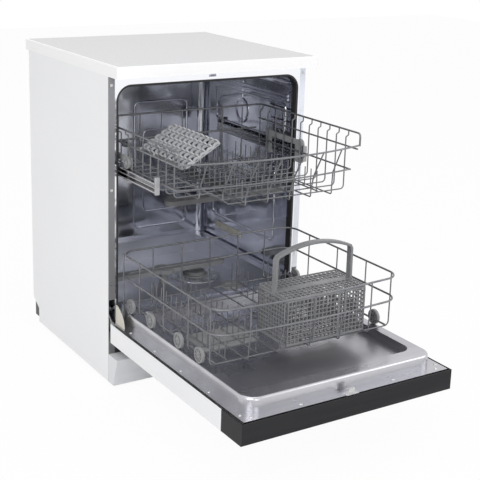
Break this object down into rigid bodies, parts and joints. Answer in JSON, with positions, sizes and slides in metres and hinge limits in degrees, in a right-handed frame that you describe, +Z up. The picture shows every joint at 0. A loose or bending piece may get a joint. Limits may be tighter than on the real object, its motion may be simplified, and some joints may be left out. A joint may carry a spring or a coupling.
{
  "type": "freestanding dishwasher",
  "caption": "Freestanding dishwasher with its door open, two wire racks drawn out, a cutlery basket with a handle, a tilted cup shelf, spray arms and a filter.",
  "frame": {"origin": "on the floor under the middle of the whole open machine", "axes": "+X to the machine's right-hand side seen from the front, +Y from the front to the back, +Z up"},
  "size_m": [0.598, 1.199, 0.85],
  "materials": {
    "worktop_white": "white laminate, satin",
    "cabinet_white": "gloss white powder coat",
    "zinc_sheet": "zinc plated",
    "tub_steel": "bright stainless",
    "gasket_grey": "matte",
    "black_plastic": "matte",
    "ballast_iron": "raw",
    "grey_plastic": "satin",
    "white_plastic": "satin",
    "filter_steel": "perforated, satin",
    "spring_steel": "bare",
    "screw_steel": "plated",
    "rail_steel": "bright",
    "fascia_black": "satin black",
    "button_grey": "satin",
    "display_dark": "gloss",
    "cream_plastic": "satin",
    "rack_coating": "grey dipped coating",
    "basket_grey": "satin",
    "shelf_grey": "satin",
    "wheel_grey": "satin"
  },
  "bodies": {
    "cabinet": {"worktop": "worktop_white", "side_panel_left": "cabinet_white", "side_panel_right": "cabinet_white", "rear_panel": "zinc_sheet", "tub": "tub_steel", "tub_floor": "tub_steel", "door_gasket": "gasket_grey", "base_tray": "black_plastic", "plinth": "cabinet_white", "levelling_feet": "black_plastic", "counterweight": "ballast_iron", "sump": "grey_plastic", "filter_plate": "filter_steel", "circulation_pump": "grey_plastic", "drain_pump": "grey_plastic", "inlet_valve": "white_plastic", "spray_feed_pipe": "grey_plastic", "softener_tank": "grey_plastic", "door_catch": "tub_steel", "rail_guides": "grey_plastic", "hinge_brackets": "zinc_sheet", "door_springs": "spring_steel", "cabinet_screws": "screw_steel"},
    "filter": {"filter_cylinder": "grey_plastic"},
    "lower_arm": {"lower_spray_arm": "grey_plastic"},
    "salt_cap": {"salt_cap": "grey_plastic"},
    "rail_left": {"rail_left": "rail_steel"},
    "rail_right": {"rail_right": "rail_steel"},
    "door": {"door_outer_panel": "cabinet_white", "control_fascia": "fascia_black", "display_window": "display_dark", "door_liner": "tub_steel", "dispenser_body": "grey_plastic", "door_latch": "spring_steel", "hinge_arms": "zinc_sheet", "hinge_covers": "cream_plastic", "door_screws": "screw_steel"},
    "power_button": {"power_button": "button_grey"},
    "programme_button": {"programme_button": "button_grey"},
    "start_button": {"start_button": "button_grey"},
    "dispenser_lid": {"dispenser_lid": "grey_plastic"},
    "rinse_aid_cap": {"rinse_aid_cap": "grey_plastic"},
    "lower_rack": {"lower_rack": "rack_coating"},
    "folding_tines": {"folding_tines": "rack_coating"},
    "cutlery_basket": {"cutlery_basket": "basket_grey"},
    "basket_flap_front": {"basket_flap_front": "basket_grey"},
    "basket_flap_rear": {"basket_flap_rear": "basket_grey"},
    "lower_wheels_1": {"lower_wheels_1": "wheel_grey"},
    "lower_wheels_2": {"lower_wheels_2": "wheel_grey"},
    "lower_wheels_3": {"lower_wheels_3": "wheel_grey"},
    "lower_wheels_4": {"lower_wheels_4": "wheel_grey"},
    "upper_rack": {"upper_rack": "rack_coating", "upper_wheel_brackets": "grey_plastic", "upper_spray_duct": "grey_plastic"},
    "cup_shelf": {"cup_shelf": "shelf_grey"},
    "upper_wheel_left_front": {"upper_wheel_left_front": "wheel_grey"},
    "upper_wheel_left_rear": {"upper_wheel_left_rear": "wheel_grey"},
    "upper_wheel_right_front": {"upper_wheel_right_front": "wheel_grey"},
    "upper_wheel_right_rear": {"upper_wheel_right_rear": "wheel_grey"},
    "upper_arm": {"upper_spray_arm": "grey_plastic"}
  },
  "joints": [
    {"name": "door_hinge", "type": "hinge", "parent": "cabinet", "child": "door", "pos_m": [0, 0.0475, 0.17], "axis": [-1, 0, 0], "range_deg": [0, 12]},
    {"name": "lower_rack_slide", "type": "slide", "parent": "door", "child": "lower_rack", "axis": [0, -1, 0], "range_m": [-0.49, 0]},
    {"name": "upper_rack_slide", "type": "slide", "parent": "cabinet", "child": "upper_rack", "axis": [0, 1, 0], "range_m": [0, 0.34]},
    {"name": "rail_left_slide", "type": "slide", "parent": "cabinet", "child": "rail_left", "axis": [0, 1, 0], "range_m": [0, 0.214]},
    {"name": "rail_right_slide", "type": "slide", "parent": "cabinet", "child": "rail_right", "axis": [0, 1, 0], "range_m": [0, 0.077]},
    {"name": "cup_shelf_hinge", "type": "hinge", "parent": "upper_rack", "child": "cup_shelf", "pos_m": [-0.2425, -0.125, 0.648], "axis": [0, -1, 0], "range_deg": [-30, 55]},
    {"name": "folding_tines_hinge", "type": "hinge", "parent": "lower_rack", "child": "folding_tines", "pos_m": [0.15, -0.1295, 0.22855], "axis": [0, -1, 0], "range_deg": [0, 80]},
    {"name": "basket_lift", "type": "slide", "parent": "lower_rack", "child": "cutlery_basket", "axis": [0, 0, 1], "range_m": [0, 0.15]},
    {"name": "flap_front_hinge", "type": "hinge", "parent": "cutlery_basket", "child": "basket_flap_front", "pos_m": [0.06, -0.35565, 0.34815], "axis": [-1, 0, 0], "range_deg": [0, 80]},
    {"name": "flap_rear_hinge", "type": "hinge", "parent": "cutlery_basket", "child": "basket_flap_rear", "pos_m": [0.06, -0.33335, 0.34815], "axis": [1, 0, 0], "range_deg": [0, 80]},
    {"name": "lower_arm_spin", "type": "hinge", "parent": "cabinet", "child": "lower_arm", "pos_m": [0, 0.3045, 0.196], "axis": [0, 0, 1], "continuous": true},
    {"name": "upper_arm_spin", "type": "hinge", "parent": "upper_rack", "child": "upper_arm", "pos_m": [0, -0.0305, 0.504], "axis": [0, 0, 1], "continuous": true},
    {"name": "filter_twist", "type": "hinge", "parent": "cabinet", "child": "filter", "pos_m": [0.12, 0.3295, 0.158], "axis": [0, 0, 1], "range_deg": [0, 90]},
    {"name": "salt_cap_twist", "type": "hinge", "parent": "cabinet", "child": "salt_cap", "pos_m": [0.165, 0.1895, 0.158], "axis": [0, 0, 1], "range_deg": [0, 180]},
    {"name": "rinse_cap_twist", "type": "hinge", "parent": "door", "child": "rinse_aid_cap", "pos_m": [-0.064, -0.2085, 0.196], "axis": [0, 0, 1], "range_deg": [0, 90]},
    {"name": "dispenser_lid_slide", "type": "slide", "parent": "door", "child": "dispenser_lid", "axis": [0, 1, 0], "range_m": [0, 0.04]},
    {"name": "power_press", "type": "slide", "parent": "door", "child": "power_button", "axis": [0, 0, 1], "range_m": [0, 0.0015], "stiffness_N_per_m": 400},
    {"name": "programme_press", "type": "slide", "parent": "door", "child": "programme_button", "axis": [0, 0, 1], "range_m": [0, 0.0015], "stiffness_N_per_m": 400},
    {"name": "start_press", "type": "slide", "parent": "door", "child": "start_button", "axis": [0, 0, 1], "range_m": [0, 0.0015], "stiffness_N_per_m": 400},
    {"name": "lower_wheels_1_roll", "type": "hinge", "parent": "lower_rack", "child": "lower_wheels_1", "pos_m": [0, 0.0015, 0.2298], "axis": [1, 0, 0], "continuous": true},
    {"name": "lower_wheels_2_roll", "type": "hinge", "parent": "lower_rack", "child": "lower_wheels_2", "pos_m": [0, -0.1085, 0.2298], "axis": [1, 0, 0], "continuous": true},
    {"name": "lower_wheels_3_roll", "type": "hinge", "parent": "lower_rack", "child": "lower_wheels_3", "pos_m": [0, -0.2505, 0.2298], "axis": [1, 0, 0], "continuous": true},
    {"name": "lower_wheels_4_roll", "type": "hinge", "parent": "lower_rack", "child": "lower_wheels_4", "pos_m": [0, -0.3485, 0.2298], "axis": [1, 0, 0], "continuous": true},
    {"name": "upper_wheel_left_front_roll", "type": "hinge", "parent": "upper_rack", "child": "upper_wheel_left_front", "pos_m": [-0.264, 0.0145, 0.6072], "axis": [1, 0, 0], "continuous": true},
    {"name": "upper_wheel_left_rear_roll", "type": "hinge", "parent": "upper_rack", "child": "upper_wheel_left_rear", "pos_m": [-0.264, 0.1595, 0.6072], "axis": [1, 0, 0], "continuous": true},
    {"name": "upper_wheel_right_front_roll", "type": "hinge", "parent": "upper_rack", "child": "upper_wheel_right_front", "pos_m": [0.264, 0.0145, 0.6072], "axis": [1, 0, 0], "continuous": true},
    {"name": "upper_wheel_right_rear_roll", "type": "hinge", "parent": "upper_rack", "child": "upper_wheel_right_rear", "pos_m": [0.264, 0.1595, 0.6072], "axis": [1, 0, 0], "continuous": true}
  ],
  "couplings": [
    {"joint": "rail_left_slide", "follows": "upper_rack_slide", "ratio": 0.6294},
    {"joint": "rail_right_slide", "follows": "upper_rack_slide", "ratio": 0.2264},
    {"joint": "lower_wheels_1_roll", "follows": "lower_rack_slide", "rad_per_m": 51.282},
    {"joint": "lower_wheels_2_roll", "follows": "lower_rack_slide", "rad_per_m": 51.282},
    {"joint": "lower_wheels_3_roll", "follows": "lower_rack_slide", "rad_per_m": 51.282},
    {"joint": "lower_wheels_4_roll", "follows": "lower_rack_slide", "rad_per_m": 51.282},
    {"joint": "upper_wheel_left_front_roll", "follows": "upper_rack_slide", "rad_per_m": -24.707},
    {"joint": "upper_wheel_left_rear_roll", "follows": "upper_rack_slide", "rad_per_m": -24.707},
    {"joint": "upper_wheel_right_front_roll", "follows": "upper_rack_slide", "rad_per_m": -51.573},
    {"joint": "upper_wheel_right_rear_roll", "follows": "upper_rack_slide", "rad_per_m": -51.573}
  ]
}
